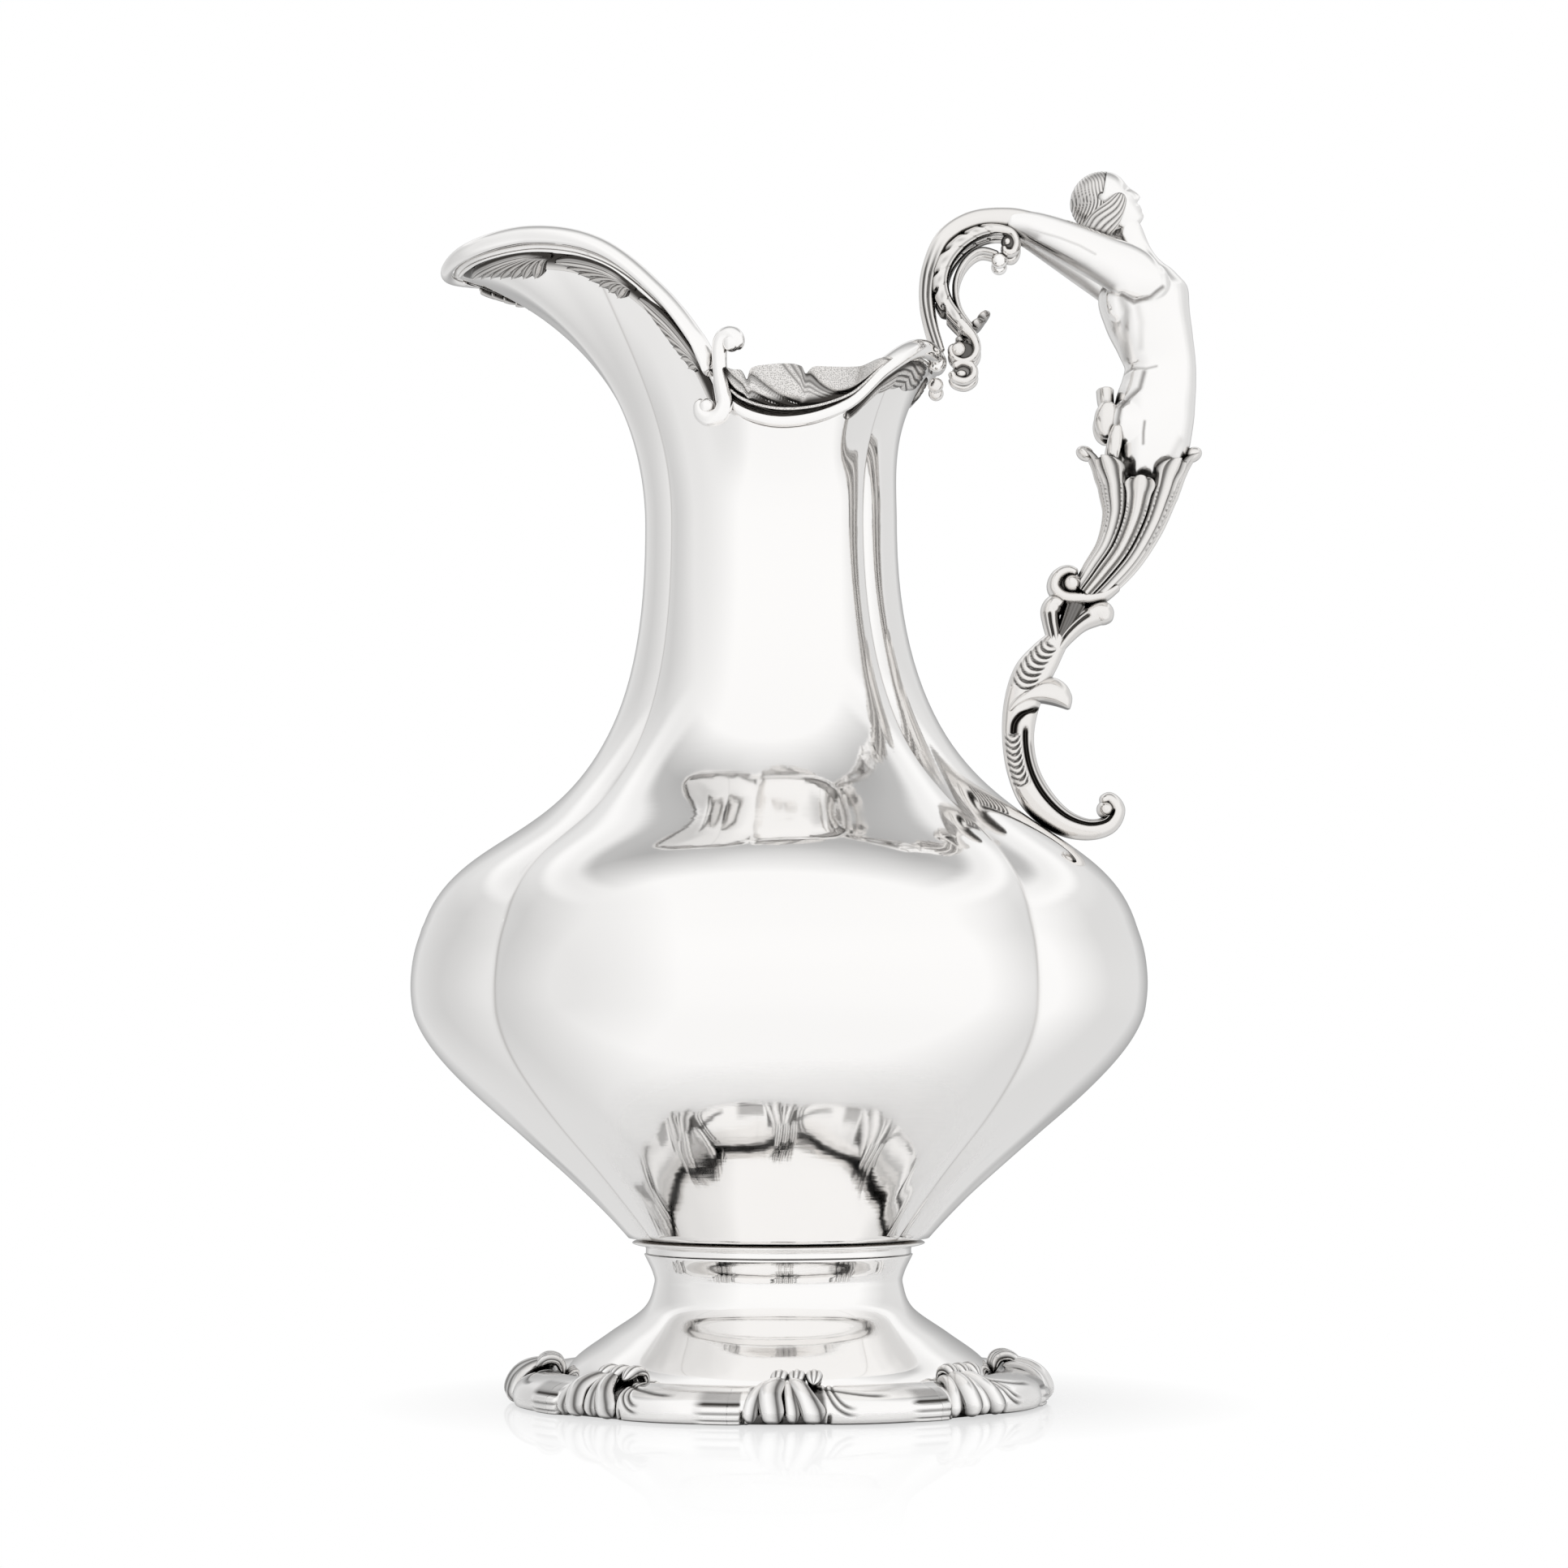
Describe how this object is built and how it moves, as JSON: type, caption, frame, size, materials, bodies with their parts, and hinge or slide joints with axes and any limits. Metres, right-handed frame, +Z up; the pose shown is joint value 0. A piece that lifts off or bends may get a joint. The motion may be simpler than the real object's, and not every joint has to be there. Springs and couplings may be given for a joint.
{
  "type": "silver jug",
  "caption": "Pear-shaped silver jug of four lobes on a bordered spool foot, with a flared leafy spout and a cast scroll handle shaped as a figure rising from a calyx.",
  "frame": {"origin": "under the middle of the jug's outer size, on the plane that the foot stands on", "axes": "+Z up along the axis of the body, +X towards the handle, -X towards the spout, -Y the near side"},
  "size_m": [0.207, 0.1912, 0.32],
  "materials": {
    "polished_silver": "polished silver, soft old surface with fine hairlines",
    "chased_silver": "cast and chased silver, oxidised in the hollows"
  },
  "bodies": {
    "root": {"body": "polished_silver", "collar": "polished_silver", "pedestal": "polished_silver", "foot_border_1": "chased_silver", "foot_border_2": "chased_silver", "foot_border_3": "chased_silver", "foot_border_4": "chased_silver", "foot_border_5": "chased_silver", "foot_border_6": "chased_silver", "foot_border_7": "chased_silver", "foot_border_8": "chased_silver", "spout_rim": "polished_silver", "rim_scroll_near": "polished_silver", "rim_scroll_far": "polished_silver", "side_rim_near": "polished_silver", "side_rim_far": "polished_silver", "spout_leaf_near": "chased_silver", "spout_leaf_far": "chased_silver", "side_shell_near": "chased_silver", "side_shell_far": "chased_silver", "rear_leaf_near": "chased_silver", "rear_leaf_far": "chased_silver", "handle_seat": "polished_silver", "lower_scroll": "polished_silver", "lower_leaf": "chased_silver", "knop": "chased_silver", "calyx_roll": "chased_silver", "calyx": "chased_silver", "figure_torso": "polished_silver", "hip_leaves": "chased_silver", "figure_arm_near": "polished_silver", "figure_arm_far": "polished_silver", "figure_head": "polished_silver", "handle_strand_near": "polished_silver", "handle_strand_far": "polished_silver", "handle_leaf_near": "chased_silver", "handle_leaf_far": "chased_silver", "handle_pearl_near": "polished_silver", "handle_pearl_far": "polished_silver", "handle_spur": "chased_silver"}
  },
  "joints": []
}
